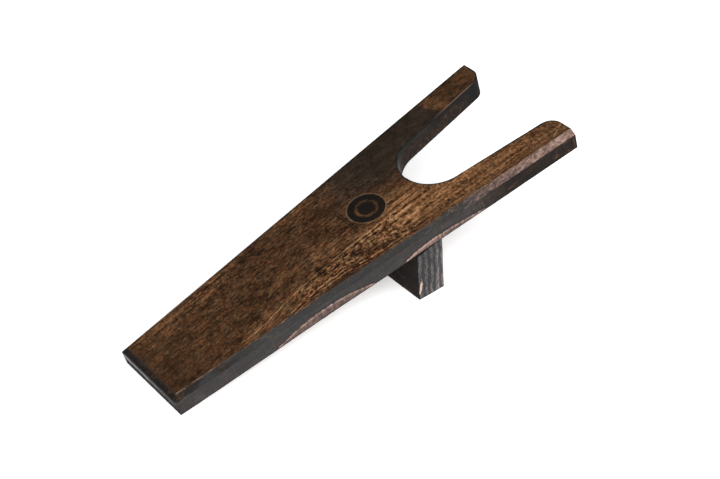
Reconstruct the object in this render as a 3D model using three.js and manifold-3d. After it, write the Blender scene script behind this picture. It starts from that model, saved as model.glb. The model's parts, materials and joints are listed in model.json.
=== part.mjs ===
// Boot jack: a tapered board with a heel notch in its wide end, propped up on a foot block.
// The board stands on the bottom edge of its narrow end and on the block under it.
// Millimetres, +Z up, +X from the narrow end to the fork, origin at the bottom centre of the whole.

import * as THREE from 'three';
import { mergeVertices } from 'three/addons/utils/BufferGeometryUtils.js';
import Module from 'manifold-3d';

const wasm = await Module();
wasm.setup();

// Board, measured along itself from its narrow end.
const boardLength = 330;
const boardThickness = 16;
const narrowWidth = 65.5;
const forkWidth = 119.5;
const pitch = THREE.MathUtils.degToRad(11.7);
const sideChamfer = 3.9;
const endChamfer = 4.3;

// Heel notch: a round bottom and two straight flanks that open towards the tips.
const notchRadius = 26.8;
const notchCentre = 252.4;
const notchFlare = THREE.MathUtils.degToRad(7.1);
const tipRadius = 10.6;

// Foot block, measured along the floor from the narrow end's bottom edge.
const blockStart = 185.4;
const blockThickness = 22;
const blockLength = 99;

// Two countersunk wood screws, driven up through the block into the board.
const screwSpread = 60;
const screwRecess = 0.5;
const screwLength = 50;
const headRadius = 4;
const headRim = 0.4;
const headHeight = 2.7;
const shankRadius = 2.1;
const rootRadius = 1.5;
const threadStart = 20;
const threadPitch = 2.6;
const pointLength = 4;
const recessSpan = 4.6;
const recessWidth = 0.9;
const recessDepth = 2;

// Clearance between neighbours, and how far a cutting tool runs past what it cuts.
const gap = 0.3;
const overrun = 2;

// Worked-out sizes.
const narrowHalf = narrowWidth / 2;
const forkHalf = forkWidth / 2;
const blockHalfway = blockStart + blockThickness / 2;
const lowestX = -(boardThickness - endChamfer) * Math.sin(pitch);
const highestX = boardLength * Math.cos(pitch);
const middleX = (lowestX + highestX) / 2;

// --- Turning meshes into solids and back, for cuts ---

function toSolid(geometry) {
  geometry.deleteAttribute('normal');
  geometry.deleteAttribute('uv');
  const merged = mergeVertices(geometry);
  return new wasm.Manifold(new wasm.Mesh({
    numProp: 3,
    vertProperties: merged.getAttribute('position').array,
    triVerts: new Uint32Array(merged.index.array),
  }));
}

function toGeometry(solid) {
  const mesh = solid.getMesh();
  const geometry = new THREE.BufferGeometry();
  geometry.setAttribute('position', new THREE.BufferAttribute(mesh.vertProperties, 3));
  geometry.setIndex(new THREE.BufferAttribute(mesh.triVerts, 1));
  geometry.computeVertexNormals();
  return geometry;
}

function cut(geometry, tools) {
  return toGeometry(tools.reduce((solid, tool) => solid.subtract(toSolid(tool)), toSolid(geometry)));
}

// --- Shared shapes ---

// A turned shape about the Z axis from [radius, height] pairs that start and end on the axis.
function turned(profile, segments) {
  const points = profile.map(([radius, height]) => new THREE.Vector2(radius, height));
  return new THREE.LatheGeometry(points, segments).rotateX(Math.PI / 2);
}

// A box with one face on the 45 degree plane that takes a chamfer off a top edge of the board.
function chamferTool(start, end, outward, size) {
  const side = 4 * size;
  const along = new THREE.Vector3().subVectors(end, start);
  const facing = new THREE.Vector3(outward.x, outward.y, 1).normalize();
  const across = new THREE.Vector3().crossVectors(facing, along).normalize();
  const centre = new THREE.Vector3().addVectors(start, end).multiplyScalar(0.5);
  centre.addScaledVector(facing, side / 2 - size / Math.SQRT2);
  const turn = new THREE.Matrix4().makeBasis(along.clone().normalize(), across, facing);
  return new THREE.BoxGeometry(along.length() + 2 * overrun, side, side)
    .applyMatrix4(turn.setPosition(centre));
}

// The hole that a screw needs, in the screw's own frame: countersink and shank.
function screwPassage() {
  return turned([
    [0, -screwRecess - overrun],
    [headRadius + gap, -screwRecess - overrun],
    [headRadius + gap, headRim + gap],
    [shankRadius + gap, headHeight + gap],
    [shankRadius + gap, screwLength + gap],
    [0, screwLength + gap],
  ], 40);
}

// Where the screws' heads are, just inside the block's underside. Heights are from the floor, and
// lengths from the narrow end's bottom edge.
function screwPlaces() {
  return [1, -1].map((side) => new THREE.Vector3(blockHalfway, side * screwSpread / 2, screwRecess));
}

// --- The pieces ---

// The board's outline from above, from the narrow end round the fork and back.
function boardOutline() {
  const quarter = Math.PI / 2;
  const flankX = notchCentre - notchRadius * Math.sin(notchFlare);
  const flankY = notchRadius * Math.cos(notchFlare);
  const tipCentreX = boardLength - tipRadius;
  const tipCentreY = flankY + (tipCentreX - flankX) * Math.tan(notchFlare)
    + tipRadius / Math.cos(notchFlare);
  const outline = new THREE.Shape();
  outline.moveTo(0, -narrowHalf);
  outline.lineTo(boardLength, -forkHalf);
  outline.lineTo(boardLength, -tipCentreY);
  outline.absarc(tipCentreX, -tipCentreY, tipRadius, 0, quarter - notchFlare, false);
  outline.lineTo(flankX, -flankY);
  outline.absarc(notchCentre, 0, notchRadius, -quarter - notchFlare, quarter + notchFlare, true);
  outline.absarc(tipCentreX, tipCentreY, tipRadius, notchFlare - quarter, 0, false);
  outline.lineTo(boardLength, forkHalf);
  outline.lineTo(0, narrowHalf);
  outline.closePath();
  return outline;
}

// The board lying flat, its underside at height 0, chamfered and with two blind screw holes.
function boardGeometry() {
  const plank = new THREE.ExtrudeGeometry(boardOutline(), {
    depth: boardThickness,
    bevelEnabled: false,
    curveSegments: 28,
  });
  const top = (x, y) => new THREE.Vector3(x, y, boardThickness);
  const taper = new THREE.Vector2(-(forkHalf - narrowHalf), boardLength).normalize();
  const tools = [
    chamferTool(top(0, narrowHalf), top(boardLength, forkHalf), taper, sideChamfer),
    chamferTool(top(boardLength, -forkHalf), top(0, -narrowHalf), { x: taper.x, y: -taper.y }, sideChamfer),
    chamferTool(top(0, -narrowHalf), top(0, narrowHalf), { x: -1, y: 0 }, endChamfer),
  ];
  for (const place of screwPlaces()) {
    tools.push(screwPassage().translate(place.x, place.y, place.z).rotateY(pitch));
  }
  return cut(plank, tools);
}

// The block standing on the floor: square ends, its top planed to the board's pitch, and a
// countersunk hole for each screw.
function blockGeometry() {
  const blank = new THREE.BoxGeometry(blockThickness, blockLength, boardLength / 3)
    .translate(blockHalfway, 0, boardLength / 6);
  const waste = new THREE.BoxGeometry(boardLength, 2 * forkWidth, boardLength)
    .translate(boardLength / 2, 0, boardLength / 2 - gap)
    .rotateY(-pitch);
  const holes = screwPlaces().map((place) => screwPassage().translate(place.x, place.y, place.z));
  return cut(blank, [waste, ...holes]);
}

// A wood screw standing on its head, its thread turned as rings, with a cross recess.
function screwGeometry() {
  const profile = [
    [0, 0],
    [headRadius, 0],
    [headRadius, headRim],
    [shankRadius, headHeight],
    [shankRadius, threadStart],
  ];
  const turns = Math.floor((screwLength - pointLength - threadStart) / threadPitch);
  for (let turn = 0; turn < turns; turn += 1) {
    const height = threadStart + turn * threadPitch;
    profile.push([rootRadius, height + 0.3 * threadPitch]);
    profile.push([rootRadius, height + 0.7 * threadPitch]);
    profile.push([shankRadius, height + threadPitch]);
  }
  profile.push([0, screwLength]);
  const arms = [0, Math.PI / 2].map((angle) => new THREE
    .BoxGeometry(recessSpan, recessWidth, 2 * recessDepth)
    .rotateZ(angle));
  return cut(turned(profile, 20), arms);
}

// --- Materials ---

function finish(color, roughness, metalness) {
  return new THREE.MeshStandardMaterial({ color, roughness, metalness, flatShading: true });
}

const boardWood = finish(0x4a3322, 0.55, 0);
const blockWood = finish(0x37302d, 0.65, 0);
const screwSteel = finish(0x8f9092, 0.35, 0.9);

// --- Assembly: everything is placed from the narrow end's bottom edge, then centred ---

function named(name, geometry, material) {
  const mesh = new THREE.Mesh(geometry, material);
  mesh.name = name;
  return mesh;
}

const tilted = new THREE.Group();
tilted.rotation.y = -pitch;
tilted.add(named('board', boardGeometry(), boardWood));

const screws = screwPlaces().map((place, index) => {
  const screw = named(['screw_left', 'screw_right'][index], screwGeometry(), screwSteel);
  screw.position.copy(place);
  return screw;
});

const bootJack = new THREE.Group();
bootJack.position.x = -middleX;
bootJack.add(tilted, named('foot_block', blockGeometry(), blockWood), ...screws);

const model = new THREE.Group();
model.add(bootJack);

export default model;
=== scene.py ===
"""Boot jack: the looks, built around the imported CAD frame. Metres, in the frame's own axes.

The board is built lying flat in its own frame, which starts at the middle of its narrow end's
bottom edge, and is then tilted into place. Its wood is laid out in that flat frame too.
"""

import json

from math import atan2, cos, pi, radians, sin, tan

import bmesh
import bpy
import numpy as np
from mathutils import Matrix, Quaternion, Vector, noise


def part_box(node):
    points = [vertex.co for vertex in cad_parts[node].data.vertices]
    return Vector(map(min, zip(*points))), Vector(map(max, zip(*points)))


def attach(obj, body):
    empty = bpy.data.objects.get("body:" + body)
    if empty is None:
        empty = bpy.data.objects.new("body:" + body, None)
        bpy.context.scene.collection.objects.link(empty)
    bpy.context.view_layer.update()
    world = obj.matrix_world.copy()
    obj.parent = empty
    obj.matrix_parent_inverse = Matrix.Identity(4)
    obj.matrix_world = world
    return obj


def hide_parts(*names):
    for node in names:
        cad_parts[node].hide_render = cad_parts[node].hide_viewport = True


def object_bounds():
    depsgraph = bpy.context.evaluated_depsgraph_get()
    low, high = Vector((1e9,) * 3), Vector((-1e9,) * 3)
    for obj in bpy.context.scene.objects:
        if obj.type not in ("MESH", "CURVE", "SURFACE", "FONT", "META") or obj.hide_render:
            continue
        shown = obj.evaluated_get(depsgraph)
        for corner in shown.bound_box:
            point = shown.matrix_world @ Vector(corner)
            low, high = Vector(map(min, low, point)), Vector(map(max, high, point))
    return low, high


MM = 0.001

# Camera: where it stands, seen from the object, and how it is framed.
VIEW_AZIMUTH = radians(-35.39)
VIEW_ELEVATION = radians(38.58)
VIEW_DISTANCE = 1.1051
VIEW_ROLL = radians(-4.54)
VIEW_LENS_MM = 80.91
AIM_OFFSET = Vector((0.0080, -0.0084, -0.0027))

# Board details that its CAD outline is drawn from, and a place past its screw holes, in board
# lengths.
NOTCH_RADIUS = 26.8 * MM
NOTCH_FLARE = radians(7.1)
TIP_RADIUS = 10.6 * MM
PAST_HOLES = 0.65

# Softened edges, and the grids that the faces are cut into so that they can be worn.
BOARD_ARRIS = 0.40 * MM
BLOCK_ARRIS = 0.35 * MM
ARRIS_STEPS = 3
SHARP_ANGLE = radians(30)
BOARD_GRID = 2.0 * MM
BLOCK_GRID = 0.9 * MM

# Wear along every edge of the board, in long and short patches, and its slightly uneven flats.
RUB_BAND = 1.5 * MM
RUB_DEPTH = 0.16 * MM
RUB_LONG = 12 * MM
RUB_SHORT = 3 * MM
FLAT_DEPTH = 0.05 * MM
FLAT_PATCH = 22 * MM

# The two long dips rubbed into the right side's bottom edge. Each has its middle and its reach
# towards either end, in board lengths, and its height. It deepens by DIP_DEPTH for each DIP_FULL
# down from its top, and takes only what is within DIP_SKIN of the side.
DIPS = [
    (0.350, 0.130, 0.130, 8.2 * MM),
    (0.612, 0.074, 0.165, 5.5 * MM),
]
DIP_DEPTH = 0.4 * MM
DIP_FULL = 8 * MM
DIP_SKIN = 0.2 * MM

# Where the left prong's inner arris is rubbed down: middle and reach in board lengths, then how
# wide and how deep.
ROOT_RUB_AT = 0.745
ROOT_RUB_REACH = 0.075
ROOT_RUB_BAND = 3.5 * MM
ROOT_RUB_DEPTH = 1.3 * MM

# The split on the block's front corner: the height of its middle and its reach up and down, how
# far in it starts and how far it leans, half its width, its length, its depth and its raggedness.
CHIP_HEIGHT = 10.5 * MM
CHIP_REACH = 7.5 * MM
CHIP_INSET = 1.7 * MM
CHIP_LEAN = 1.5 * MM
CHIP_HALF = 1.5 * MM
CHIP_LENGTH = 2.5 * MM
CHIP_DEPTH = 0.5 * MM
CHIP_RAGGED = 2 * MM

# The unevenness of the block's faces.
BLOCK_DEPTH = 0.08 * MM
BLOCK_PATCH = 9 * MM

# The screws' nodes, and how far round them the wood is left as it is drilled.
SCREWS = ["screw_left", "screw_right"]
BOARD_SCREW_REACH = 9 * MM
BLOCK_SCREW_REACH = 7 * MM

# A screw's heights: the head's rim, its cone, and the thread's pitch. Then its thread's start and
# its point's start in screw lengths, and its radii and its cross recess in head radii.
SCREW_RIM = 0.4 * MM
SCREW_CONE = 2.7 * MM
SCREW_PITCH = 2.6 * MM
THREAD_START = 0.4
POINT_START = 0.93
THREAD_CORE = 0.38
THREAD_CREST = 0.52
RECESS_REACH = 0.575
RECESS_HALF = 0.12
RECESS_DEPTH = 0.5

# How finely a screw is turned: sides, and steps up each turn of its thread.
SCREW_SIDES = 48
PITCH_STEPS = 10

# The floor's half side, the light from all round, and the lights: name, place, size and power.
FLOOR_HALF = 4
WORLD_LIGHT = 0.14
LIGHTS = [
    ("key", (-0.9, -1.4, 1.7), 2.2, 78),
    ("side", (1.0, -1.3, 1.3), 1.6, 26),
]

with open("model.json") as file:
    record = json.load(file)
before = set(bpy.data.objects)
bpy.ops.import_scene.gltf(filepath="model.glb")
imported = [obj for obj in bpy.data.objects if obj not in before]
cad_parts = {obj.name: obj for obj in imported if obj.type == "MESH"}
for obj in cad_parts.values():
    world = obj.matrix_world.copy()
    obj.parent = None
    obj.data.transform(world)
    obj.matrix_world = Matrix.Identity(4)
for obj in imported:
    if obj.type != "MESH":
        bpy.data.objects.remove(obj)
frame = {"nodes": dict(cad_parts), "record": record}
cad_low, cad_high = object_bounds()


# ---------------------------------------------------------------- measuring the frame


def mount_axis(name):
    """The outward normal of one of the record's mounts."""
    found = next(mount for mount in frame["record"]["mounts"] if mount["name"] == name)
    return Vector(found["axis"])


def board_placement():
    """Board frame to row frame: tilted about the narrow end's bottom edge."""
    normal = mount_axis("tread")
    tilt = atan2(-normal.x, normal.z)
    points = [vertex.co for vertex in frame["nodes"]["board"].data.vertices]
    lowest = min(points, key=lambda point: point.z)
    return Matrix.Translation((lowest.x, 0, 0)) @ Matrix.Rotation(-tilt, 4, "Y")


class BoardSizes:
    """The board's own sizes, read off its CAD solid."""

    def __init__(self, to_row):
        to_board = to_row.inverted()
        vertices = frame["nodes"]["board"].data.vertices
        points = np.array([to_board @ vertex.co for vertex in vertices])
        x, y, z = points[:, 0], np.abs(points[:, 1]), points[:, 2]
        near = 0.01 * MM
        self.length = x.max()
        self.thickness = z.max()
        self.fork_half = y.max()
        self.narrow_half = y[x < near].max()
        self.side_chamfer = self.thickness - z[y > self.fork_half - near].max()
        self.end_chamfer = self.thickness - z[x < near].max()
        in_middle = (z < near) & (y < NOTCH_RADIUS / 2)
        past_holes = x > self.length * PAST_HOLES
        self.notch_centre = x[in_middle & past_holes].min() + NOTCH_RADIUS

    def half(self, x):
        """Half the board's width, at a distance from its narrow end."""
        return self.narrow_half + (self.fork_half - self.narrow_half) * x / self.length


place_board = board_placement()
board = BoardSizes(place_board)


# ---------------------------------------------------------------- mesh tools


def solid_of(node, into=None):
    """A CAD node's solid with its flat faces whole again, moved into another frame."""
    bm = bmesh.new()
    bm.from_mesh(frame["nodes"][node].data)
    if into is not None:
        bm.transform(into)
    bmesh.ops.remove_doubles(bm, verts=bm.verts, dist=0.002 * MM)
    bmesh.ops.dissolve_limit(bm, angle_limit=radians(0.5), verts=bm.verts, edges=bm.edges)
    return bm


def soften_edges(bm, width, keep_sharp):
    """Rounds every sharp edge, but for those with both ends where keep_sharp says."""
    sharp = [
        edge
        for edge in bm.edges
        if len(edge.link_faces) == 2
        and edge.calc_face_angle() > SHARP_ANGLE
        and not all(keep_sharp(vertex.co) for vertex in edge.verts)
    ]
    bmesh.ops.bevel(
        bm, geom=sharp, offset=width, segments=ARRIS_STEPS, profile=0.5, affect="EDGES",
        clamp_overlap=True,
    )


def slice_up(bm, step):
    """Cuts the faces into a grid, so that the surface can be worn, dented and rippled."""
    points = np.array([vertex.co for vertex in bm.verts])
    for axis in range(3):
        normal = Vector((0, 0, 0))
        normal[axis] = 1
        low, high = points[:, axis].min(), points[:, axis].max()
        count = max(1, round((high - low) / step))
        for index in range(1, count):
            at = normal * (low + (high - low) * index / count)
            everything = bm.verts[:] + bm.edges[:] + bm.faces[:]
            bmesh.ops.bisect_plane(
                bm, geom=everything, dist=0.01 * MM, plane_co=at, plane_no=normal
            )


def near_screws(into, reach):
    """A test for the points within reach of a screw's axis, in a frame that into leads to."""
    centres = [into @ (sum(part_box(name), Vector()) / 2) for name in SCREWS]

    def by_a_screw(point):
        return any((point.xy - centre.xy).length < reach for centre in centres)

    return by_a_screw


def ripple(point, size):
    """Smooth noise from -1 to 1, with bumps of about this size."""
    return noise.noise(point / size)


def finish_piece(bm, name, material, replaced, to_row=None):
    """Makes a smooth-shaded piece that stands for a CAD node."""
    mesh = bpy.data.meshes.new(name)
    for face in bm.faces:
        face.smooth = True
    bm.to_mesh(mesh)
    bm.free()
    piece = bpy.data.objects.new(name, mesh)
    bpy.context.scene.collection.objects.link(piece)
    if to_row is not None:
        piece.matrix_world = to_row
    mesh.materials.append(material)
    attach(piece, "root")
    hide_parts(replaced)
    return piece


def even_normals(piece):
    """Keeps flat faces flat beside their rounded edges."""
    modifier = piece.modifiers.new("even_normals", "WEIGHTED_NORMAL")
    modifier.weight = 100
    modifier.keep_sharp = True


def store(mesh, name, values):
    """A number at each vertex, for the materials to read."""
    layer = mesh.attributes.new(name, "FLOAT", "POINT")
    layer.data.foreach_set("value", np.asarray(values, np.float32))


# ---------------------------------------------------------------- material tools


def linear(red, green, blue):
    """A colour given as 0 to 255 screen values, as the shader wants it."""
    def decode(value):
        value /= 255
        return value / 12.92 if value <= 0.04045 else ((value + 0.055) / 1.055) ** 2.4
    return decode(red), decode(green), decode(blue), 1


class Shader:
    """A node material, with one short method for each kind of node."""

    def __init__(self, name):
        self.material = bpy.data.materials.new(name)
        self.material.use_nodes = True
        self.tree = self.material.node_tree
        self.surface = self.tree.nodes["Principled BSDF"]
        self.here = self.node("ShaderNodeTexCoord").outputs["Object"]
        self.x, self.y, self.z = self.split(self.here)

    def node(self, kind, **settings):
        made = self.tree.nodes.new(kind)
        for name, value in settings.items():
            setattr(made, name, value)
        return made

    def feed(self, socket, value):
        """Links a socket to another node's output, or gives it a plain value."""
        if isinstance(value, bpy.types.NodeSocket):
            self.tree.links.new(value, socket)
        else:
            socket.default_value = value

    def node_fed(self, kind, *values, **settings):
        made = self.node(kind, **settings)
        for socket, value in zip(made.inputs, values):
            self.feed(socket, value)
        return made

    def math(self, operation, *values, clamp=False):
        made = self.node_fed("ShaderNodeMath", *values, operation=operation, use_clamp=clamp)
        return made.outputs[0]

    def add(self, first, *others):
        for other in others:
            first = self.math("ADD", first, other)
        return first

    def times(self, first, *others):
        for other in others:
            first = self.math("MULTIPLY", first, other)
        return first

    def most(self, first, *others):
        for other in others:
            first = self.math("MAXIMUM", first, other)
        return first

    def less(self, first, second):
        return self.math("SUBTRACT", first, second)

    def invert(self, value):
        return self.math("SUBTRACT", 1, value, clamp=True)

    def split(self, vector):
        return self.node_fed("ShaderNodeSeparateXYZ", vector).outputs

    def join(self, x, y, z):
        return self.node_fed("ShaderNodeCombineXYZ", x, y, z).outputs[0]

    def attribute(self, name):
        return self.node("ShaderNodeAttribute", attribute_name=name).outputs["Fac"]

    def noise(self, where, size, detail=2.0, roughness=0.55, distortion=0.0, shift=0.0):
        """Noise from 0 to 1 about 0.5, with grains of this size in millimetres along x, y and z.

        Detail, roughness and distortion are the texture's own. Shift keeps two noises apart.
        """
        scaled = self.node("ShaderNodeVectorMath", operation="MULTIPLY_ADD")
        self.feed(scaled.inputs[0], where)
        scaled.inputs[1].default_value = [1 / (length * MM) for length in size]
        scaled.inputs[2].default_value = (shift, shift, shift)
        made = self.node("ShaderNodeTexNoise")
        self.feed(made.inputs["Vector"], scaled.outputs[0])
        made.inputs["Scale"].default_value = 1
        made.inputs["Detail"].default_value = detail
        made.inputs["Roughness"].default_value = roughness
        made.inputs["Distortion"].default_value = distortion
        return made.outputs["Fac"]

    def swing(self, where, size, detail=2.0, roughness=0.55, distortion=0.0, shift=0.0):
        """The same noise about 0, mostly from -1 to 1."""
        fac = self.noise(where, size, detail, roughness, distortion, shift)
        return self.times(self.less(fac, 0.5), 5)

    def ramp_up(self, value, low, high):
        """0 below low, 1 above high. With low above high it falls instead."""
        made = self.node("ShaderNodeMapRange", clamp=True, interpolation_type="SMOOTHSTEP")
        self.feed(made.inputs["Value"], value)
        self.feed(made.inputs["From Min"], low)
        self.feed(made.inputs["From Max"], high)
        return made.outputs["Result"]

    def past(self, start, full):
        """0 before start, 1 past full, both along the board in board lengths. Or falling."""
        return self.ramp_up(self.x, start * board.length, full * board.length)

    def near(self, value, at, width):
        """1 where the value is at, falling to 0 a width away."""
        return self.ramp_up(self.math("ABSOLUTE", self.less(value, at)), width, 0)

    def spot(self, x, y, radius_x, radius_y, ragged=0.0):
        """1 at a point of the board, falling to 0 at an ellipse round it. In board lengths."""
        length = board.length
        along = self.less(self.add(self.x, ragged), x * length)
        along = self.times(along, 1 / (radius_x * length))
        across = self.less(self.add(self.y, ragged), y * length)
        across = self.times(across, 1 / (radius_y * length))
        squares = self.add(self.times(along, along), self.times(across, across))
        return self.ramp_up(squares, 1, 0)

    def mix(self, factor, first, second, blend="MIX"):
        made = self.node("ShaderNodeMix", data_type="RGBA", blend_type=blend)
        colours = [socket for socket in made.inputs if socket.type == "RGBA"]
        self.feed(made.inputs[0], factor)
        self.feed(colours[0], first)
        self.feed(colours[1], second)
        return next(socket for socket in made.outputs if socket.type == "RGBA")

    def mix_value(self, factor, first, second):
        made = self.node("ShaderNodeMix", data_type="FLOAT")
        sockets = [made.inputs["Factor"], made.inputs["A"], made.inputs["B"]]
        for socket, value in zip(sockets, (factor, first, second)):
            self.feed(socket, value)
        return made.outputs["Result"]

    def ramp(self, factor, stops):
        """A colour ramp through (place, colour) stops."""
        made = self.node("ShaderNodeValToRGB")
        elements = made.color_ramp.elements
        while len(elements) < len(stops):
            elements.new(0.5)
        for element, (place, colour) in zip(elements, stops):
            element.position = place
            element.color = colour
        self.feed(made.inputs[0], factor)
        return made.outputs["Color"]

    def bump(self, height, distance):
        made = self.node("ShaderNodeBump")
        made.inputs["Strength"].default_value = 1
        made.inputs["Distance"].default_value = distance
        self.feed(made.inputs["Height"], height)
        return made.outputs[0]

    def set(self, **values):
        """Feeds the surface's own sockets. A name's _ stands for a space."""
        for name, value in values.items():
            self.feed(self.surface.inputs[name.replace("_", " ")], value)


# ---------------------------------------------------------------- the board's shape

# Where two pale growth lines run: along the board, then across it, in board lengths.
UPPER_LINE = [(0.0, -0.100), (0.17, -0.092), (0.24, -0.087), (0.29, -0.076), (0.35, -0.067),
              (0.39, -0.062), (0.51, -0.056), (0.68, -0.055), (1.0, -0.060)]
LOWER_LINE = [(0.0, -0.120), (0.27, -0.107), (0.31, -0.102), (0.37, -0.097), (0.44, -0.099),
              (0.46, -0.111), (0.50, -0.118), (0.56, -0.123), (1.0, -0.150)]

# The same two lines where the grain is straightened out, and how far out it is straight anyway.
UPPER = -0.060
LOWER = -0.105
GRAIN_LIMIT = 0.25


def grain_across(x, y):
    """How far across the grain a point of the board lies, the grain being bent by the lines."""
    along = x / board.length
    uppers = np.interp(along, *zip(*UPPER_LINE))
    lowers = np.interp(along, *zip(*LOWER_LINE))
    straight = [-GRAIN_LIMIT, LOWER, UPPER, GRAIN_LIMIT]
    across = [
        np.interp(value, [-GRAIN_LIMIT, lower, upper, GRAIN_LIMIT], straight)
        for value, lower, upper in zip(y / board.length, lowers, uppers)
    ]
    return np.array(across) * board.length


def fork_gap(x, y):
    """How far a point of the board is from the notch's edge and the prongs' ends."""
    side = np.abs(y)
    flank_x = board.notch_centre - NOTCH_RADIUS * sin(NOTCH_FLARE)
    flank_y = NOTCH_RADIUS * cos(NOTCH_FLARE)
    round_gap = np.hypot(x - board.notch_centre, y) - NOTCH_RADIUS
    flank_gap = (side - flank_y) * cos(NOTCH_FLARE) - (x - flank_x) * sin(NOTCH_FLARE)
    gap = np.where(x < flank_x, round_gap, flank_gap)
    tip_x = board.length - TIP_RADIUS
    tip_y = flank_y + (tip_x - flank_x) * tan(NOTCH_FLARE) + TIP_RADIUS / cos(NOTCH_FLARE)
    tip_gap = TIP_RADIUS - np.hypot(x - tip_x, side - tip_y)
    gap = np.where((x > tip_x) & (side < tip_y), tip_gap, gap)
    return np.minimum(gap, board.length - x)


def side_wear_height(x):
    """How far up the right side its bottom edge is rubbed bare, in two long dips."""
    along = x / board.length
    total = 0
    for middle, reach_back, reach_on, height in DIPS:
        reach = np.where(along < middle, reach_back, reach_on)
        total = total + height * np.clip(1 - ((along - middle) / reach) ** 2, 0, 1)
    return total


def notch_root_wear(point, to_fork):
    """How far the left prong's inner arris is rubbed down, where the notch begins."""
    if point.y <= 0:
        return 0
    from_middle = (point.x / board.length - ROOT_RUB_AT) / ROOT_RUB_REACH
    from_arris = max(to_fork, board.thickness - point.z) / ROOT_RUB_BAND
    return ROOT_RUB_DEPTH * max(0, 1 - from_middle ** 2) * max(0, 1 - from_arris) ** 2


def wear_board(bm):
    """Rubs two dips into the right side's bottom edge, and makes every edge a little uneven."""
    for vertex in bm.verts:
        point = vertex.co.copy()
        side_gap = board.half(point.x) - abs(point.y)
        to_fork = float(fork_gap(np.array(point.x), np.array(point.y)))
        worn = float(side_wear_height(np.array(point.x)))
        on_right_side = point.y < 0 and side_gap < DIP_SKIN
        if on_right_side and point.z < worn:
            vertex.co.y += DIP_DEPTH * (worn - point.z) / DIP_FULL
        to_face = min(point.z, board.thickness - point.z)
        edge = max(to_face, min(side_gap, to_fork, point.x))
        if edge < RUB_BAND:
            rub = 0.5 + 0.5 * ripple(point, RUB_LONG) + 0.4 * ripple(point, RUB_SHORT)
            vertex.co -= vertex.normal * (RUB_DEPTH * max(0, rub) * (1 - edge / RUB_BAND))
        else:
            hollow = 0.5 + 0.5 * ripple(point, FLAT_PATCH)
            vertex.co -= vertex.normal * (FLAT_DEPTH * hollow)
        vertex.co.z -= notch_root_wear(point, to_fork)


def make_board(material):
    """The board: rounded, cut into a grid and worn, with what its wood reads stored on it."""
    into_board = place_board.inverted()
    bm = solid_of("board", into_board)
    soften_edges(bm, BOARD_ARRIS, near_screws(into_board, BOARD_SCREW_REACH))
    slice_up(bm, BOARD_GRID)
    bm.normal_update()
    wear_board(bm)
    piece = finish_piece(bm, "board_wood", material, "board", place_board)
    even_normals(piece)
    points = np.array([vertex.co for vertex in piece.data.vertices])
    x, y, z = points.T
    store(piece.data, "across_grain", grain_across(x, y))
    store(piece.data, "fork_gap", fork_gap(x, y))
    store(piece.data, "side_wear", np.where(y < 0, side_wear_height(x) - z, -z))


# ---------------------------------------------------------------- the board's wood

# Patches of lighter and darker stain on the top: centre, radii and amount, in board lengths.
STAIN_PATCHES = [
    (0.68, -0.060, 0.21, 0.065, 0.24),
    (0.82, -0.125, 0.34, 0.060, 0.17),
    (0.36, -0.085, 0.24, 0.045, 0.09),
    (0.44, -0.030, 0.10, 0.035, 0.10),
    (0.41, -0.085, 0.07, 0.030, 0.07),
    (0.12, 0.085, 0.18, 0.036, 0.08),
    (0.20, 0.100, 0.08, 0.030, 0.09),
    (0.40, 0.085, 0.08, 0.030, -0.03),
    (0.45, 0.120, 0.09, 0.030, 0.04),
    (0.51, 0.060, 0.05, 0.018, -0.12),
    (0.61, 0.055, 0.05, 0.020, 0.06),
    (0.40, -0.122, 0.05, 0.016, -0.14),
    (0.04, -0.050, 0.10, 0.050, -0.05),
    (0.93, 0.150, 0.06, 0.040, -0.03),
]

# Fine scratches up the right side: place in board lengths, bottom, top, strength.
SCRATCHES = [
    (0.752, 0.5 * MM, 12.0 * MM, 0.55),
    (0.651, 7.0 * MM, 12.0 * MM, 0.40),
    (0.620, 9.5 * MM, 12.0 * MM, 0.35),
]

# Dark knots: centre and radii, in board lengths, and strength.
KNOTS = [
    (0.399, -0.067, 0.012, 0.022, 0.50),
    (0.310, -0.086, 0.012, 0.009, 0.35),
    (0.455, -0.110, 0.012, 0.008, 0.50),
    (0.430, -0.078, 0.008, 0.008, 0.35),
]

# The burned disc: its place along the board, in board lengths, its radius, and how far from it
# the two lines are.
MARK_AT = 0.572
MARK_RADIUS = 13.4 * MM
MARK_LINES = (2.6 * MM, 4.4 * MM)

# The top's tone, from 0 to 1: what the patches start from, how much darker the left prong's dark
# patch is, and the tone at which the figure has faded out.
BASE_TONE = 0.275
PATCH_DARKER = 0.125
DARKEST_TONE = 0.13

DARK = linear(9, 8, 8)
BURNED = linear(10, 8, 6)
PALE_WOOD_AND_HIGHLIGHT = linear(118, 96, 78)
PALE_BROWN = linear(66, 48, 34)

# Tints that multiply a colour: over the top, over the edges, and painted light that makes faces
# paler where less lamp light falls on them.
WARM_TINT = (1.10, 0.94, 0.86, 1)
COOL_TINT = (0.94, 1.03, 1.04, 1)
GOLD_TINT = (1.07, 0.97, 0.84, 1)
PATCH_TINT = (0.80, 1.22, 2.15, 1)
BROWNISH_TINT = (1.18, 0.97, 0.82, 1)
BLUISH_TINT = (0.95, 1.00, 1.02, 1)
PAINTED_FILL_LIGHT = (2.2, 2.1, 2.0, 1)
PAINTED_FILL_LIGHT_BEHIND = (1.9, 1.8, 1.7, 1)

# Ramps from dark to light: the top, the chamfers, the sides, brown wood, the notch's wall where
# it is smooth, and bare wood.
FACE_STOPS = [
    (0.00, linear(22, 8, 2)),
    (0.11, linear(36, 22, 8)),
    (0.23, linear(56, 36, 20)),
    (0.36, linear(74, 51, 32)),
    (0.54, linear(102, 72, 47)),
    (0.65, linear(117, 84, 56)),
    (0.77, linear(133, 98, 69)),
    (1.00, linear(160, 126, 95)),
]

CHAMFER_STOPS = [
    (0.0, linear(3, 3, 3)),
    (0.4, linear(13, 13, 12)),
    (0.7, linear(30, 29, 27)),
    (1.0, linear(64, 60, 56)),
]

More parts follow.
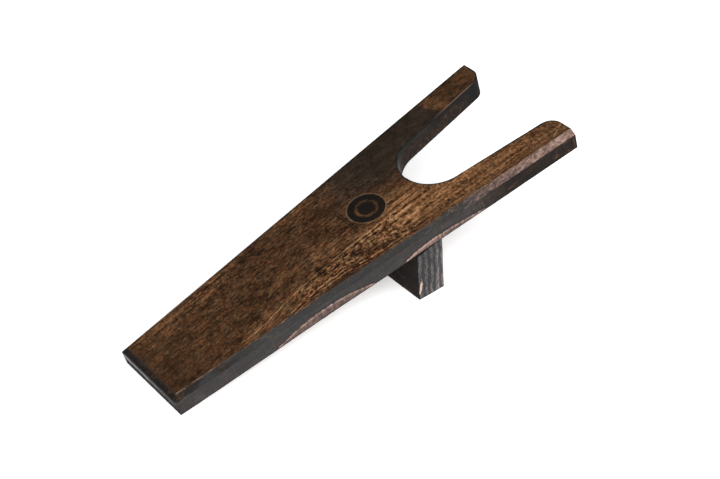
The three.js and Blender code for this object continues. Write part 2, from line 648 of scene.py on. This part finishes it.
SIDE_STOPS = [
    (0.0, linear(17, 16, 17)),
    (0.5, linear(35, 32, 32)),
    (1.0, linear(58, 54, 53)),
]

BROWN_STOPS = [
    (0.0, linear(5, 3, 2)),
    (0.5, linear(27, 17, 11)),
    (1.0, linear(78, 58, 42)),
]

WALL_STOPS = [
    (0.0, linear(16, 16, 13)),
    (0.5, linear(30, 30, 26)),
    (1.0, linear(50, 46, 42)),
]

BARE_STOPS = [
    (0.1, linear(40, 30, 28)),
    (0.5, linear(99, 77, 68)),
    (0.9, linear(156, 128, 116)),
]


def stain_depth(s):
    """How light the top's stain is, from 0 to 1, and where the left prong's dark patch is."""
    length = board.length
    tone = BASE_TONE
    for *ellipse, amount in STAIN_PATCHES:
        tone = s.add(s.times(s.spot(*ellipse), amount), tone)
    ragged = s.times(s.swing(s.here, (14, 14, 14), 4, 0.7), 5 * MM)
    along = s.add(s.x, ragged)
    across = s.add(s.y, ragged)
    dark = s.times(
        s.ramp_up(along, 0.50 * length, 0.64 * length),
        s.ramp_up(along, 0.866 * length, 0.848 * length),
        s.ramp_up(across, 0.00 * length, 0.075 * length),
    )
    return s.less(tone, s.times(dark, PATCH_DARKER)), dark


def growth_line(s, grain, across, line, start, end):
    """A thin pale line along the grain, doubled and broken here and there, and a dark one by it."""
    length = board.length
    broken = s.ramp_up(s.noise(grain, (12, 3, 2), 1, 0.5, 0, 3.0), 0.30, 0.48)
    second = s.ramp_up(s.noise(grain, (16, 6, 2), 1, 0.5, 0, 11.0), 0.45, 0.55)
    waver = s.times(s.swing(grain, (9, 9, 9), 2, 0.6), 0.55 * MM)
    place = s.less(s.add(across, waver), line * length)
    extent = s.times(
        s.ramp_up(s.x, start * length, (start + 0.05) * length),
        s.ramp_up(s.x, end * length, (end - 0.08) * length),
    )
    pale = s.times(s.near(place, 0, 0.85 * MM), s.add(s.times(broken, 0.36), 0.12))
    double = s.times(s.near(place, -2.6 * MM, 0.8 * MM), second, 0.32)
    shade = s.times(s.near(place, -1.3 * MM, 1.1 * MM), 0.18)
    return s.times(extent, s.less(s.add(pale, double), shade))


def wood_figure(s, grain, gold, prong):
    """The figure about 0, from broad clouds to fine grit, and the relief that goes with it."""
    length = board.length
    corner = s.spot(0.12, 0.085, 0.20, 0.035)
    cloud = s.swing(grain, (24, 14, 14), 3, 0.65, 0.2, 9.0)
    mottle = s.swing(grain, (9, 5, 5), 3, 0.65, 0.2)
    streak = s.swing(grain, (34, 1.9, 3), 3, 0.6, 0.1)
    fibre = s.swing(grain, (9, 1.6, 2), 3, 0.7, 0.1)
    line = s.swing(grain, (60, 1.1, 2), 2, 0.65, 0.1, 6.0)
    grit = s.swing(grain, (2.0, 1.0, 1.2), 3, 0.7, 0.1, 8.0)
    fleck = s.swing(grain, (2.6, 1.6, 2), 3, 0.75, 0.2, 4.0)
    lined = s.most(s.times(gold, s.invert(prong)), s.times(corner, 0.8))
    left = s.times(prong, s.ramp_up(s.y, 0.02 * length, 0.09 * length))
    right = s.less(prong, left)
    figure = s.add(
        s.times(cloud, s.invert(s.times(right, 0.6)), 0.30),
        s.times(mottle, s.add(s.times(left, 0.30), s.times(right, -0.24), 0.34)),
        s.times(streak, s.add(s.times(lined, 0.62), s.times(left, -0.16), 0.20)),
        s.times(fibre, s.invert(s.times(prong, 0.7)), 0.58),
        s.times(line, s.add(s.times(right, 0.56), s.times(s.invert(left), 0.06))),
        s.times(grit, right, 0.95),
        s.times(fleck, s.less(0.75, s.add(s.times(gold, 0.15), s.times(right, 0.25)))),
    )
    return figure, s.add(s.times(fibre, 0.6), s.times(fleck, 0.5))


def face_colour(s, across):
    """The top's colour, open grain with growth lines, blotches, knots and pores, and its relief."""
    length = board.length
    grain = s.join(s.x, across, s.z)
    tone, dark = stain_depth(s)
    gold = s.ramp_up(tone, 0.33, 0.50)
    prong = s.past(0.60, 0.70)
    figure, relief = wood_figure(s, grain, gold, prong)
    between = s.times(
        s.ramp_up(across, (LOWER - 0.02) * length, (LOWER + 0.008) * length),
        s.ramp_up(across, (UPPER + 0.004) * length, (UPPER - 0.006) * length),
        s.past(0.24, 0.36),
        s.past(0.66, 0.56),
    )
    blotch = s.swing(grain, (3.6, 2.2, 2), 3, 0.75, 0.1, 7.0)
    figure = s.less(s.add(figure, s.times(blotch, between, 1.6)), s.times(between, 0.02))
    by_end = s.ramp_up(s.x, board.end_chamfer + 6 * MM, board.end_chamfer)
    low_part = s.past(0.20, 0.06)
    calm = s.invert(s.add(s.times(prong, 0.22), s.times(by_end, 0.32), s.times(low_part, 0.20)))
    above_floor = s.most(s.less(tone, DARKEST_TONE), 0)
    lightness = s.add(
        tone,
        s.times(figure, s.math("SQRT", above_floor), calm, 0.78),
        growth_line(s, grain, across, UPPER, 0.14, 0.70),
        growth_line(s, grain, across, LOWER, 0.20, 0.60),
        rubbed_streaks(s),
    )
    ragged = s.times(blotch, 1.8 * MM)
    for *ellipse, strength in KNOTS:
        lightness = s.less(lightness, s.times(s.spot(*ellipse, ragged), strength))
    pores = s.ramp_up(s.noise(grain, (4, 0.9, 1), 1, 0.5, 0.2, 5.0), 0.58, 0.68)
    lightness = s.less(lightness, s.times(pores, 0.12))

    hue = s.ramp_up(s.swing(s.here, (9, 5, 5), 3, 0.7, 0.3, 2.0), -0.7, 0.7)
    tint = s.mix(hue, WARM_TINT, COOL_TINT)
    tint = s.mix(s.times(gold, 0.8), tint, GOLD_TINT)
    tint = s.mix(s.times(dark, 0.9), tint, PATCH_TINT)
    return s.mix(1, s.ramp(lightness, FACE_STOPS), tint, "MULTIPLY"), relief


def rubbed_streaks(s):
    """Two places where the top is rubbed lighter: behind the dark patch, and a stroke at a tip."""
    length = board.length
    rough = s.times(s.swing(s.here, (4, 4, 4), 3, 0.7, 0, 5.0), 1.6 * MM)
    blot = s.spot(0.880, 0.138, 0.024, 0.028, rough)
    tilt = s.add(s.times(s.less(s.x, 0.975 * length), -0.45), s.less(s.y, -0.152 * length))
    stroke = s.times(
        s.near(s.add(tilt, s.times(rough, 0.2)), 0, 1.0 * MM),
        s.past(0.94, 0.96),
        s.ramp_up(s.y, -0.12 * length, -0.14 * length),
    )
    return s.add(s.times(blot, 0.09), s.times(stroke, 0.28))


def side_top(offset):
    """A height that is offset above the line between the side and its chamfer."""
    return board.thickness - board.side_chamfer + offset


def stained_edges(s, fine, upright, broad):
    """1 on the chamfers and 0 on the sides, the charcoal of both, and the brown of some parts."""
    on_chamfer = s.add(s.times(fine, 0.32), s.times(broad, 0.22), 0.45)
    on_wall = s.add(s.times(fine, 0.18), s.times(upright, 0.14), s.times(broad, 0.20), 0.45)
    on_brown = s.add(s.times(fine, 0.32), s.times(upright, 0.12), s.times(broad, 0.22), 0.38)
    cool = s.ramp_up(s.swing(s.here, (12, 3, 3), 2, 0.6, 0, 5.0), -0.5, 0.5)
    tint = s.mix(cool, BROWNISH_TINT, BLUISH_TINT)
    chamfer = s.mix(1, s.ramp(on_chamfer, CHAMFER_STOPS), tint, "MULTIPLY")
    side = s.mix(1, s.ramp(on_wall, SIDE_STOPS), tint, "MULTIPLY")
    up = s.ramp_up(s.z, side_top(-0.1 * MM), side_top(0.3 * MM))
    return up, s.mix(up, side, chamfer), s.ramp(on_brown, BROWN_STOPS)


def notch_wall(s, fine, broad):
    """The notch's wall: smooth and grey at its root, fuzzy and brown on, black at the tips."""
    length = board.length
    thick = board.thickness
    height = s.add(s.z, s.times(broad, 3 * MM))
    fuzzy = s.times(
        s.past(0.68, 0.74),
        s.most(s.past(0.78, 0.85), s.ramp_up(height, 0.85 * thick, 0.5 * thick)),
    )
    tip = s.ramp_up(s.add(s.x, s.times(broad, 3 * MM)), 0.93 * length, 0.965 * length)
    fibres = s.swing(s.here, (2.4, 2.4, 4), 3, 0.75, 0, 6.0)
    smooth = s.ramp(s.add(s.times(fine, 0.2), s.times(broad, 0.25), 0.5), WALL_STOPS)
    wall = s.mix(fuzzy, smooth, s.ramp(s.add(s.times(fibres, 0.24), 0.50), BROWN_STOPS))
    upper = s.times(s.ramp_up(height, 0.50 * thick, 0.72 * thick), s.past(0.78, 0.86))
    return s.mix(s.most(tip, s.times(upper, 0.8)), wall, DARK)


def sawn_end(s):
    """1 on the narrow end's face, 1 lower down where it is dull and painted dark as shade near the
    floor, and its shine above.
    """
    thick = board.thickness
    end = s.ramp_up(s.x, 0.7 * MM, 0.2 * MM)
    patch = s.swing(s.here, (9, 9, 9), 2, 0.5, 0, 3.0)
    low = s.ramp_up(s.add(s.z, s.times(patch, 0.8 * MM)), 0.48 * thick, 0.32 * thick)
    leftward = s.ramp_up(s.y, -board.narrow_half, board.narrow_half)
    shine = s.times(s.add(s.times(leftward, 0.32), s.times(patch, 0.16), -0.18), s.invert(low))
    return end, low, shine


def edge_look(s, side_gap, top_gap, gap):
    """Charcoal on the chamfers and sides, browner and duller on the prongs. Colour, roughness."""
    length = board.length
    fine = s.swing(s.here, (4, 1.6, 1.4), 3, 0.7)
    upright = s.swing(s.here, (2.2, 2.2, 12), 2, 0.6, 0, 2.0)
    broad = s.swing(s.here, (22, 6, 4), 3, 0.6)
    up, colour, brown = stained_edges(s, fine, upright, broad)

    # The narrow end's chamfer turns brown towards the top, and the right one's start is brown.
    end_reach = board.end_chamfer + 0.7 * MM
    low_edge = s.add(board.end_chamfer * 0.3, s.times(broad, 0.4 * MM))
    end_chamfer = s.times(s.ramp_up(s.x, low_edge, board.end_chamfer), up)
    end_chamfer = s.times(end_chamfer, s.ramp_up(s.x, end_reach + 1 * MM, end_reach))
    top_edge = s.times(end_chamfer, end_chamfer, end_chamfer, 0.45)
    start = s.times(s.past(0.24, 0.06), up, s.ramp_up(broad, -0.8, 0.4))
    colour = s.mix(s.times(s.most(end_chamfer, start), 0.7), colour, brown)
    colour = s.mix(top_edge, colour, PALE_BROWN)

    # So are a band just under the top's arrises, and the prongs' sides.
    band = s.ramp_up(s.add(top_gap, s.times(fine, 0.5 * MM)), -2.0 * MM, -0.2 * MM)
    under_top = s.times(band, up, s.past(0.20, 0.30), s.past(0.72, 0.60))
    colour = s.mix(s.times(under_top, 0.75), colour, brown)
    far = s.ramp_up(s.add(s.x, s.times(broad, 6 * MM)), 0.69 * length, 0.83 * length)
    on_side = s.times(s.invert(up), far)
    colour = s.mix(on_side, colour, brown)

    # A dark line runs along the bottom edge: painted shade where the board meets the floor.
    foot = s.ramp_up(s.add(s.z, s.times(fine, 0.5 * MM)), 1.6 * MM, 0.5 * MM)
    near_side = s.invert(s.ramp_up(side_gap, 2 * MM, 4 * MM))
    colour = s.mix(s.times(foot, near_side, 0.7), colour, DARK)

    in_notch = s.times(s.ramp_up(gap, 1.3 * MM, 0.7 * MM), s.ramp_up(side_gap, 2 * MM, 5 * MM))
    colour = s.mix(in_notch, colour, notch_wall(s, fine, broad))
    dull = s.most(on_side, s.times(in_notch, s.past(0.69, 0.73)))

    end, low, shine = sawn_end(s)
    # The narrow end's lower part is painted dark: painted shade near the floor.
    colour = s.mix(s.times(end, low), colour, DARK)
    dull_end = s.times(s.ramp_up(s.x, end_reach + 0.5 * MM, end_reach - 0.5 * MM), up)
    rough = s.add(
        0.45, s.times(dull, 0.42), s.times(end, low, 0.45), s.times(end, shine, -1),
        s.times(dull_end, 0.3), s.times(start, 0.35), s.times(fine, 0.04),
    )

    # The left side and the right prong's inner wall are made paler: painted light, since less lamp
    # light falls on them.
    left_side = s.times(
        s.ramp_up(side_gap, 5.0 * MM, 4.2 * MM), s.ramp_up(s.y, 0, 5 * MM),
        s.ramp_up(s.x, 6 * MM, 9 * MM), s.ramp_up(s.x, length - 0.3 * MM, length - 1.0 * MM),
    )
    right_wall = s.times(in_notch, s.ramp_up(s.y, -2 * MM, -12 * MM))
    return s.mix(s.most(left_side, right_wall), colour, PAINTED_FILL_LIGHT, "MULTIPLY"), rough


def rubbed_and_highlit_arrises(s, top_gap, gap, right):
    """Pale lines on arrises, partly where the stain is rubbed off and partly painted highlight: the
    right one's two ends, and the prongs' tips.
    """
    thick = board.thickness
    patchy = s.ramp_up(s.noise(s.here, (6, 3, 3), 2, 0.6, 0, 8.0), 0.38, 0.6)
    ends = s.most(s.past(0.16, 0.06), s.past(0.62, 0.70))
    outer = s.times(
        s.near(top_gap, 0.1 * MM, 0.6 * MM), right, ends, patchy, s.ramp_up(s.x, 2 * MM, 5 * MM)
    )
    inner = s.times(
        s.near(gap, 0.3 * MM, 0.7 * MM), s.invert(right), s.ramp_up(s.z, thick - 1.2 * MM, thick),
        s.past(0.82, 0.90), s.past(0.985, 0.95),
    )
    tip = s.times(s.near(gap, 1.9 * MM, 0.6 * MM), s.past(0.93, 0.97), patchy, 0.5)
    return s.most(outer, inner, tip)


def bare_wood(s, top_gap, right):
    """Where the stain is worn off, the wood's colour there, and the dark lines beside it."""
    length = board.length
    rub = s.swing(s.here, (5, 1.6, 1.6), 3, 0.7, 0.3, 2.0)
    upright = s.swing(s.here, (1.6, 2, 14), 3, 0.7, 0, 7.0)
    speck = s.swing(s.here, (3.4, 2.2, 2.2), 3, 0.8, 0, 4.0)
    worn = s.add(s.attribute("side_wear"), s.times(rub, 0.45 * MM), s.times(upright, 0.35 * MM))
    dip = s.times(s.ramp_up(worn, 0, 0.5 * MM), s.ramp_up(s.z, 0.4 * MM, 1.0 * MM))
    rim = s.times(s.ramp_up(worn, 3.0 * MM, 0.6 * MM), s.ramp_up(worn, 0, 0.5 * MM))
    pale_start = s.times(s.past(0.53, 0.55), s.past(0.66, 0.60), 0.35)
    on_chamfer = s.times(
        s.ramp_up(s.z, side_top(-0.35 * MM), side_top(0.1 * MM)),
        s.ramp_up(top_gap, 0.3 * MM, -0.1 * MM),
    )
    prong = s.times(
        on_chamfer, right,
        s.ramp_up(s.add(s.x, s.times(rub, 0.06 * length)), 0.65 * length, 0.85 * length),
        s.add(s.times(s.ramp_up(speck, -1.2, 0.2), 0.60), 0.40),
    )
    bare_dip = s.times(dip, s.add(s.times(rim, 0.35), s.times(upright, 0.25), 0.62))
    bare = s.most(bare_dip, prong)
    for x, bottom, top, strength in SCRATCHES:
        place = s.add(s.x, s.times(s.z, 0.12), s.times(rub, 0.15 * MM))
        scratch = s.times(
            s.near(place, x * length, 0.6 * MM), right, strength,
            s.ramp_up(s.z, bottom, bottom + 1 * MM), s.ramp_up(s.z, top, top - 1 * MM),
        )
        bare = s.most(bare, scratch)
    brighter = s.times(s.past(0.74, 0.95), 0.18)
    lightness = s.add(
        s.times(speck, 0.22), s.times(rub, 0.16), s.times(rim, 0.24), s.times(upright, dip, 0.18),
        s.times(pale_start, dip), brighter, 0.37,
    )
    outline = s.times(
        s.near(worn, -0.8 * MM, 1.0 * MM), s.ramp_up(s.z, 0.8 * MM, 2.5 * MM), right, 0.75
    )
    seam = s.times(
        s.near(s.z, side_top(-0.2 * MM), 0.6 * MM), right, s.past(0.76, 0.82), 0.7
    )
    return bare, s.ramp(lightness, BARE_STOPS), s.most(outline, seam)


def burned_mark(s):
    """A plain disc with a ring left in it, and two fine lines beside it. Burn, and its pale rim."""
    x = s.less(s.x, MARK_AT * board.length)
    spread = s.math("SQRT", s.add(s.times(x, x), s.times(s.y, s.y)))
    spread = s.add(spread, s.times(s.swing(s.here, (1.2, 1.2, 1.2), 2), 0.08 * MM))
    disc = s.ramp_up(spread, MARK_RADIUS + 0.15 * MM, MARK_RADIUS - 0.15 * MM)
    ring = s.near(spread, 0.55 * MARK_RADIUS, 2.0 * MM)
    line_end = 0.9 * MARK_RADIUS
    ends = s.ramp_up(s.math("ABSOLUTE", s.y), line_end, line_end - 0.5 * MM)
    lines = [
        s.times(s.near(x, -MARK_RADIUS - offset, 0.8 * MM), ends) for offset in MARK_LINES
    ]
    burn = s.most(s.times(disc, s.invert(s.times(ring, 0.9))), s.add(*lines))
    return burn, s.near(spread, MARK_RADIUS + 0.7 * MM, 0.8 * MM)


def board_wood():
    """Dark stained hardwood: mottled and flecked on top, charcoal on the edges, worn bare."""
    s = Shader("board_wood")
    thick = board.thickness
    across = s.attribute("across_grain")
    gap = s.attribute("fork_gap")
    slope = (board.fork_half - board.narrow_half) / board.length
    side_gap = s.less(s.add(s.times(s.x, slope), board.narrow_half), s.math("ABSOLUTE", s.y))
    right = s.ramp_up(s.y, 0, -1 * MM)

    # Where the top is, inside chamfers that were sanded by hand.
    sanded = s.add(
        s.times(s.swing(s.here, (40, 40, 40), 1), 0.4 * MM),
        s.times(s.swing(s.here, (5, 3, 3), 3, 0.7), 0.6 * MM),
    )
    top_gap = s.less(s.add(side_gap, sanded), board.side_chamfer)
    end_gap = s.less(s.add(s.x, sanded), board.end_chamfer)
    rim = s.ramp_up(s.add(gap, sanded), 0.5 * MM, 1.3 * MM)
    on_top = s.times(
        s.ramp_up(s.z, thick - 0.5 * MM, thick - 0.2 * MM),
        s.ramp_up(top_gap, -0.5 * MM, 0.6 * MM),
        s.ramp_up(end_gap, -0.3 * MM, 0.8 * MM),
        rim,
    )
    below = s.times(
        s.ramp_up(s.z, 0.35 * MM, 0.1 * MM), s.ramp_up(side_gap, 0.3 * MM, 0.8 * MM), rim
    )
    face = s.most(on_top, below)
    top_colour, relief = face_colour(s, across)
    edge_colour, edge_rough = edge_look(s, side_gap, top_gap, gap)
    colour = s.mix(face, edge_colour, top_colour)
    rough = s.mix_value(face, edge_rough, s.add(s.times(relief, 0.03), 0.46))
    far_arris = s.times(
        s.near(top_gap, 0.2 * MM, 1.0 * MM), s.invert(right), on_top, s.past(0.2, 0.4)
    )
    colour = s.mix(s.times(far_arris, 0.8), colour, DARK)
    # Pale arris lines: partly stain rubbed off, partly painted highlight.
    colour = s.mix(s.times(rubbed_and_highlit_arrises(s, top_gap, gap, right), 0.75), colour, PALE_WOOD_AND_HIGHLIGHT)

    bare, bare_colour, outline = bare_wood(s, top_gap, right)
    colour = s.mix(outline, s.mix(bare, colour, bare_colour), DARK)
    burned, halo = burned_mark(s)
    burned = s.times(burned, on_top)
    colour = s.mix(s.times(halo, on_top, 0.4), colour, PALE_WOOD_AND_HIGHLIGHT)
    colour = s.mix(s.times(burned, 0.96), colour, BURNED)

    arris_dull = s.times(s.invert(rim), s.ramp_up(s.z, thick - 1.5 * MM, thick - 0.5 * MM), 0.35)
    rough = s.add(rough, s.times(bare, 0.2), s.times(burned, 0.1), arris_dull)
    height = s.add(s.times(relief, 0.5), s.times(burned, -1.5))
    s.set(
        Base_Color=colour, Roughness=rough, Specular_IOR_Level=0.2,
        Normal=s.bump(height, 0.08 * MM),
    )
    return s.material


# ---------------------------------------------------------------- the foot block


def make_block(material):
    """The block: rounded, cut into a grid, made uneven and split at its front corner."""
    bm = solid_of("foot_block")
    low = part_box("foot_block")[0]
    by_a_screw = near_screws(Matrix.Identity(4), BLOCK_SCREW_REACH)
    soften_edges(bm, BLOCK_ARRIS, by_a_screw)
    slice_up(bm, BLOCK_GRID)
    bm.normal_update()
    for vertex in bm.verts:
        point = vertex.co.copy()
        if not by_a_screw(point):
            vertex.co -= vertex.normal * (BLOCK_DEPTH * (1 + ripple(point, BLOCK_PATCH)))
        vertex.co += Vector((0.5, 1, 0)) * (CHIP_DEPTH * max(0, chip_depth(point, low)))
    piece = finish_piece(bm, "foot_block_wood", material, "foot_block")
    even_normals(piece)
    store(piece.data, "chip", [chip_depth(vertex.co, low) for vertex in piece.data.vertices])


def chip_depth(point, low):
    """How deep the front corner is split: above 0 inside the split, a sliver that leans back."""
    up = (point.z - CHIP_HEIGHT) / CHIP_REACH
    lean = point.x - low.x - CHIP_INSET - up * CHIP_LEAN
    width = CHIP_HALF * (1 + 0.5 * ripple(point, CHIP_RAGGED))
    on_end = (point.y - low.y) / CHIP_LENGTH
    return (1 - up * up) - abs(lean) / width - on_end


# How far apart the block's growth rings are, and its colours: ends, faces and the split.
RING_PITCH = 4.9 * MM

END_STOPS = [
    (0.0, linear(14, 13, 14)),
    (0.4, linear(50, 48, 49)),
    (0.7, linear(92, 86, 85)),
    (1.0, linear(140, 130, 128)),
]

BLOCK_STOPS = [
    (0.0, linear(6, 4, 3)),
    (0.5, linear(25, 19, 15)),
    (1.0, linear(84, 65, 50)),
]

CHIP_STOPS = [
    (0.0, linear(96, 74, 64)),
    (1.0, linear(214, 188, 174)),
]


def block_wood():
    """Dark stained wood, with growth rings standing up its sawn ends and a pale split."""
    s = Shader("block_wood")
    low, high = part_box("foot_block")
    centre = (low + high) / 2
    wander = s.swing(s.here, (14, 60, 14), 2, 0.5)
    small = s.swing(s.here, (4, 60, 6), 2, 0.5, 0, 3.0)
    rise = s.times(s.less(s.z, low.z), 1 / (40 * MM))
    ring = s.add(
        s.times(s.less(s.x, centre.x), 1 / RING_PITCH),
        s.times(rise, 0.25),
        s.times(wander, 0.30),
        s.times(small, 0.10),
    )
    wave = s.add(
        s.times(s.math("SINE", s.times(ring, 2 * pi)), 0.8),
        s.times(s.math("SINE", s.times(ring, 6.3 * pi)), 0.3),
    )
    fine = s.swing(s.here, (1.1, 12, 2.2), 3, 0.7)
    mottle = s.swing(s.here, (7, 25, 9), 3, 0.6, 0, 5.0)
    rightward = s.ramp_up(s.less(s.x, s.times(s.z, 0.3)), low.x, high.x - 0.3 * low.z)
    end_tone = s.add(
        s.times(wave, s.add(s.times(mottle, 0.10), 0.26)), s.times(fine, 0.20),
        s.times(mottle, 0.10), s.times(rightward, 0.28), 0.30,
    )
    ends = s.ramp(end_tone, END_STOPS)
    lengthwise = s.swing(s.here, (2, 40, 1.3), 3, 0.65, 0.3)
    face_tone = s.add(s.times(lengthwise, 0.35), s.times(mottle, 0.15), 0.38)
    faces = s.ramp(face_tone, BLOCK_STOPS)
    # The faces towards the back are made paler: painted light, since less lamp light falls on them.
    behind = s.ramp_up(s.x, centre.x, high.x)
    faces = s.mix(behind, faces, PAINTED_FILL_LIGHT_BEHIND, "MULTIPLY")
    on_end = s.ramp_up(s.math("ABSOLUTE", s.y), high.y - 0.5 * MM, high.y - 0.2 * MM)
    colour = s.mix(on_end, faces, ends)
    # A dark line along the block's bottom edge: painted shade where it meets the floor.
    foot = s.times(
        s.ramp_up(s.add(s.z, s.times(fine, 0.4 * MM)), low.z + 1.1 * MM, low.z + 0.4 * MM),
        s.ramp_up(s.z, low.z + 0.2 * MM, low.z + 0.4 * MM),
    )
    colour = s.mix(s.times(foot, 0.8), colour, DARK)
    chip = s.ramp_up(s.add(s.attribute("chip"), s.times(fine, 0.12)), 0.05, 0.4)
    colour = s.mix(chip, colour, s.ramp(s.add(s.times(fine, 0.25), 0.6), CHIP_STOPS))
    rough = s.add(s.mix_value(on_end, 0.95, 0.55), s.times(fine, 0.03))
    s.set(
        Base_Color=colour, Roughness=rough, Specular_IOR_Level=0.2,
        Normal=s.bump(s.add(s.times(wave, on_end, 0.4), fine), 0.06 * MM),
    )
    return s.material


# ---------------------------------------------------------------- the screws

STEEL_STOPS = [
    (0.3, linear(120, 118, 112)),
    (0.7, linear(186, 186, 184)),
]


def make_screw(node, material):
    """A countersunk wood screw with a real helical thread, standing on its head."""
    low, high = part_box(node)
    axis = (low + high) / 2
    length = high.z - low.z
    head_radius = (high.x - low.x) / 2
    core = THREAD_CORE * head_radius
    crest = THREAD_CREST * head_radius
    thread_from = THREAD_START * length
    thread_to = POINT_START * length
    angles = np.linspace(0, 2 * pi, SCREW_SIDES, endpoint=False)

    def radii(height):
        """The screw's radius at a height above its head, at each angle round it."""
        if height <= thread_from:
            plain = np.interp(height, [SCREW_RIM, SCREW_CONE], [head_radius, crest])
            return np.full(SCREW_SIDES, plain)
        turn = (height / SCREW_PITCH - angles / (2 * pi)) % 1
        ridge = np.clip(1 - np.abs(turn - 0.5) / 0.3, 0, 1)
        point = np.clip((length - height) / (length - thread_to), 0, 1)
        return (core + (crest - core) * ridge) * point

    thread = np.arange(thread_from, length, SCREW_PITCH / PITCH_STEPS)
    bm = bmesh.new()
    loops = []
    for height in [0, SCREW_RIM, SCREW_CONE, *thread]:
        loop = []
        for radius, angle in zip(radii(height), angles):
            place = (axis.x + radius * cos(angle), axis.y + radius * sin(angle), low.z + height)
            loop.append(bm.verts.new(place))
        loops.append(loop)
    for inner, outer in zip(loops, loops[1:]):
        for here, after in round_pairs(SCREW_SIDES):
            bm.faces.new((inner[here], inner[after], outer[after], outer[here]))
    tip = bm.verts.new((axis.x, axis.y, high.z))
    for here, after in round_pairs(SCREW_SIDES):
        bm.faces.new((loops[-1][here], loops[-1][after], tip))
    drive_head(bm, loops[0], head_radius)
    bmesh.ops.recalc_face_normals(bm, faces=bm.faces)
    finish_piece(bm, node + "_steel", material, node)


def round_pairs(count):
    """Each index round a closed ring, with the one after it."""
    return [(index, (index + 1) % count) for index in range(count)]


def drive_head(bm, outer, head_radius):
    """Closes the head's flat with a cross recess in it, narrowing as it goes in."""
    centre = sum((vertex.co for vertex in outer), Vector()) / len(outer)

    def cross(scale, depth):
        reach = RECESS_REACH * head_radius * scale
        half_width = RECESS_HALF * head_radius * scale
        corners = ((reach, -half_width), (reach, half_width), (half_width, half_width))
        ring = []
        for turn in (0, pi / 2, pi, 1.5 * pi):
            for x, y in corners:
                place = (x * cos(turn) - y * sin(turn), x * sin(turn) + y * cos(turn), depth)
                ring.append(bm.verts.new(centre + Vector(place)))
        return ring

    mouth = cross(1.0, 0)
    bottom = cross(0.5, RECESS_DEPTH * head_radius)
    for here, after in round_pairs(len(mouth)):
        bm.faces.new((mouth[here], mouth[after], bottom[after], bottom[here]))
    bm.faces.new(bottom)
    rims = [
        bm.edges.get((ring[here], ring[after]))
        for ring in (mouth, outer)
        for here, after in round_pairs(len(ring))
    ]
    bmesh.ops.triangle_fill(bm, use_beauty=True, edges=rims)


def screw_steel():
    """Zinc-plated steel with fine turning marks and dull patches."""
    s = Shader("screw_steel")
    patch = s.noise(s.here, (3, 3, 3), 3, 0.6)
    turned = s.noise(s.here, (6, 6, 0.25), 2, 0.5)
    s.set(
        Base_Color=s.ramp(patch, STEEL_STOPS), Metallic=1.0,
        Roughness=s.add(0.24, s.times(patch, 0.25)), Normal=s.bump(turned, 0.02 * MM),
    )
    return s.material


# ---------------------------------------------------------------- floor, light and camera


def make_floor():
    """A plain pale floor, level with the object's foot."""
    bm = bmesh.new()
    bmesh.ops.create_grid(bm, x_segments=8, y_segments=8, size=FLOOR_HALF)
    mesh = bpy.data.meshes.new("floor")
    bm.to_mesh(mesh)
    bm.free()
    floor = bpy.data.objects.new("floor", mesh)
    floor.location.z = cad_low.z
    bpy.context.scene.collection.objects.link(floor)
    s = Shader("floor_paint")
    s.set(
        Base_Color=(0.94, 0.94, 0.94, 1), Roughness=0.9, Specular_IOR_Level=0.1,
        Emission_Color=(1, 1, 1, 1), Emission_Strength=0.35,
    )
    mesh.materials.append(s.material)


def add_light(name, place, size, power):
    """A square soft light, aimed at the object."""
    data = bpy.data.lights.new(name, "AREA")
    data.shape = "SQUARE"
    data.size = size
    data.energy = power
    lamp = bpy.data.objects.new(name, data)
    lamp.location = place
    centre = (cad_low + cad_high) / 2
    lamp.rotation_euler = (centre - Vector(place)).to_track_quat("-Z", "Y").to_euler()
    bpy.context.scene.collection.objects.link(lamp)


def light_studio():
    """Even white light from all round, and the soft lights."""
    world = bpy.data.worlds.new("studio")
    world.use_nodes = True
    background = world.node_tree.nodes["Background"]
    background.inputs["Color"].default_value = (1, 1, 1, 1)
    background.inputs["Strength"].default_value = WORLD_LIGHT
    bpy.context.scene.world = world
    bpy.context.scene.view_settings.view_transform = "Standard"
    for light in LIGHTS:
        add_light(*light)


def add_camera():
    """The camera, turned about its own line of sight as the view is."""
    back = Vector((
        sin(VIEW_AZIMUTH) * cos(VIEW_ELEVATION),
        -cos(VIEW_AZIMUTH) * cos(VIEW_ELEVATION),
        sin(VIEW_ELEVATION),
    ))
    data = bpy.data.cameras.new("camera")
    data.lens = VIEW_LENS_MM
    data.clip_start = 0.05
    camera = bpy.data.objects.new("camera", data)
    aim = (cad_low + cad_high) / 2 + AIM_OFFSET
    camera.location = aim + back * VIEW_DISTANCE
    upright = (-back).to_track_quat("-Z", "Y")
    camera.rotation_mode = "QUATERNION"
    camera.rotation_quaternion = upright @ Quaternion((0, 0, 1), VIEW_ROLL)
    bpy.context.scene.collection.objects.link(camera)
    bpy.context.scene.camera = camera


# ---------------------------------------------------------------- putting it together

add_camera()
make_floor()
light_studio()
make_board(board_wood())
make_block(block_wood())
steel = screw_steel()
for screw_node in SCREWS:
    make_screw(screw_node, steel)
